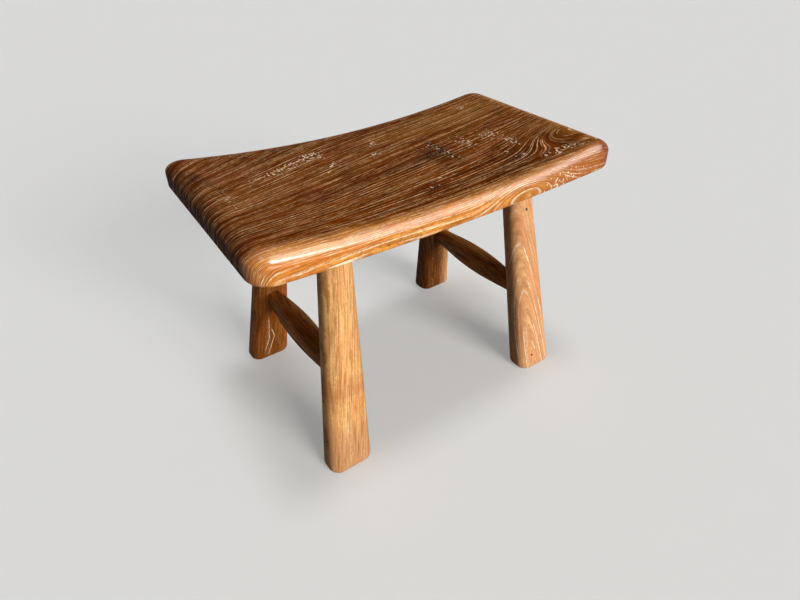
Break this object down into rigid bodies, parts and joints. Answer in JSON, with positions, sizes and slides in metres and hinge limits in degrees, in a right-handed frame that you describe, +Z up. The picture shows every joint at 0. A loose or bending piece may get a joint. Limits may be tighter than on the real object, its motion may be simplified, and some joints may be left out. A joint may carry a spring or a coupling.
{
  "type": "saddle stool",
  "caption": "Saddle stool: a dished wooden plank seat on splayed, flaring legs that are joined in pairs by spindle stretchers.",
  "frame": {"origin": "on the floor, under the middle of the seat", "axes": "+X along the seat, +Y to the back long side, +Z up"},
  "size_m": [0.62, 0.3666, 0.4274],
  "materials": {
    "seat_teak": "dark stained teak, limed grain, satin varnish",
    "leg_teak": "tan stained teak, limed grain, satin varnish",
    "stretcher_teak": "red-brown stained teak, satin varnish",
    "wedge_teak": "bare, unfinished"
  },
  "bodies": {
    "root": {"seat": "seat_teak", "leg_front_left": "leg_teak", "leg_front_right": "leg_teak", "leg_back_left": "leg_teak", "leg_back_right": "leg_teak", "stretcher_left": "stretcher_teak", "stretcher_right": "stretcher_teak", "tenon_wedge_front_left": "wedge_teak", "tenon_wedge_front_right": "wedge_teak", "tenon_wedge_back_left": "wedge_teak", "tenon_wedge_back_right": "wedge_teak"}
  },
  "joints": []
}
